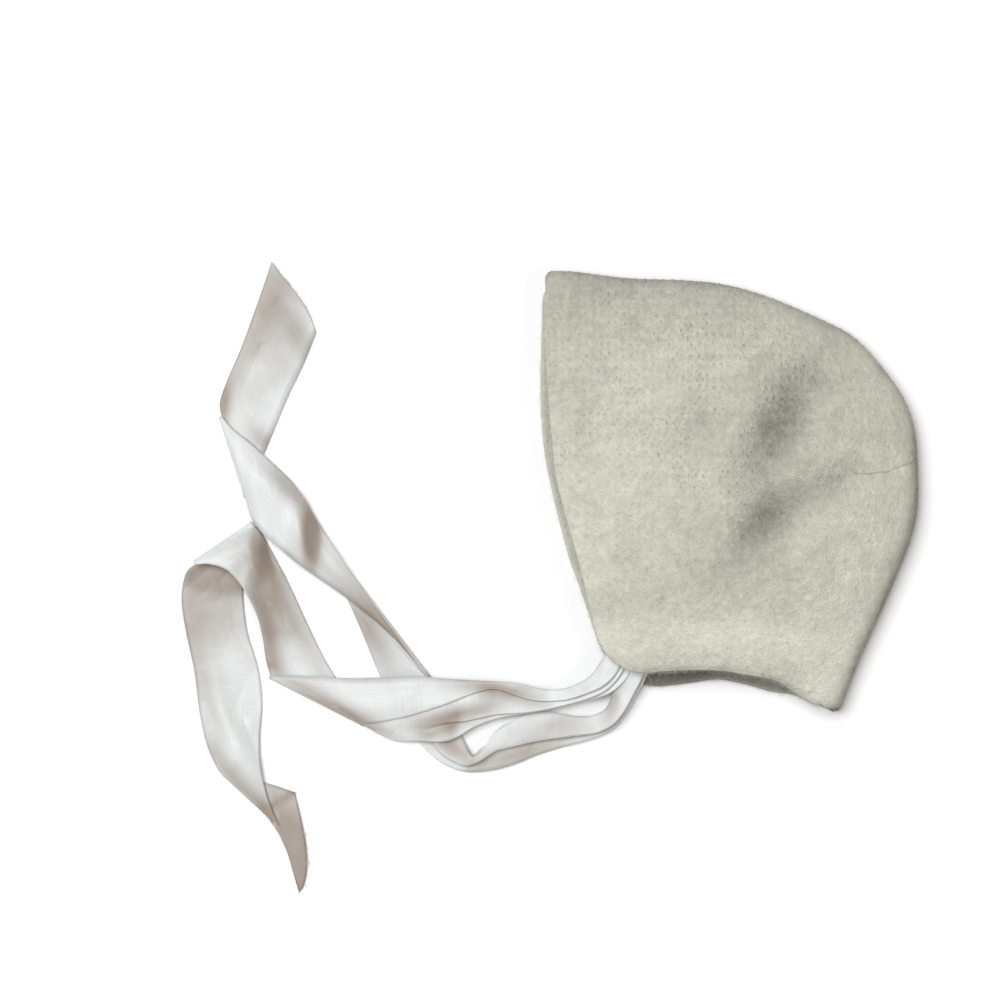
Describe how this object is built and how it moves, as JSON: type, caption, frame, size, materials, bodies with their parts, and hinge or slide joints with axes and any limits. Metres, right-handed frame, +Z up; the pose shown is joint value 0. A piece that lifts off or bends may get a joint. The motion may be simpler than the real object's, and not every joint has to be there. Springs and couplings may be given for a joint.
{
  "type": "baby bonnet",
  "caption": "Baby bonnet of thick felted wool lying on its side, its hollow open at face and neck, with long folded ribbon ties.",
  "frame": {"origin": "on the table under the middle of the bonnet's plan outline, on the flat underside of the lower panel", "axes": "+X towards the back of the head, +Y towards the crown, +Z up from the table; the face opening looks to -X and the neck opening to -Y"},
  "size_m": [0.309, 0.2648, 0.0286],
  "materials": {
    "felt": "matt felted wool, cream grey",
    "ribbon": "soft off-white silk ribbon"
  },
  "bodies": {
    "root": {"side_panel_left": "felt", "side_panel_right": "felt", "tie_left": "ribbon", "tie_right": "ribbon"}
  },
  "joints": []
}
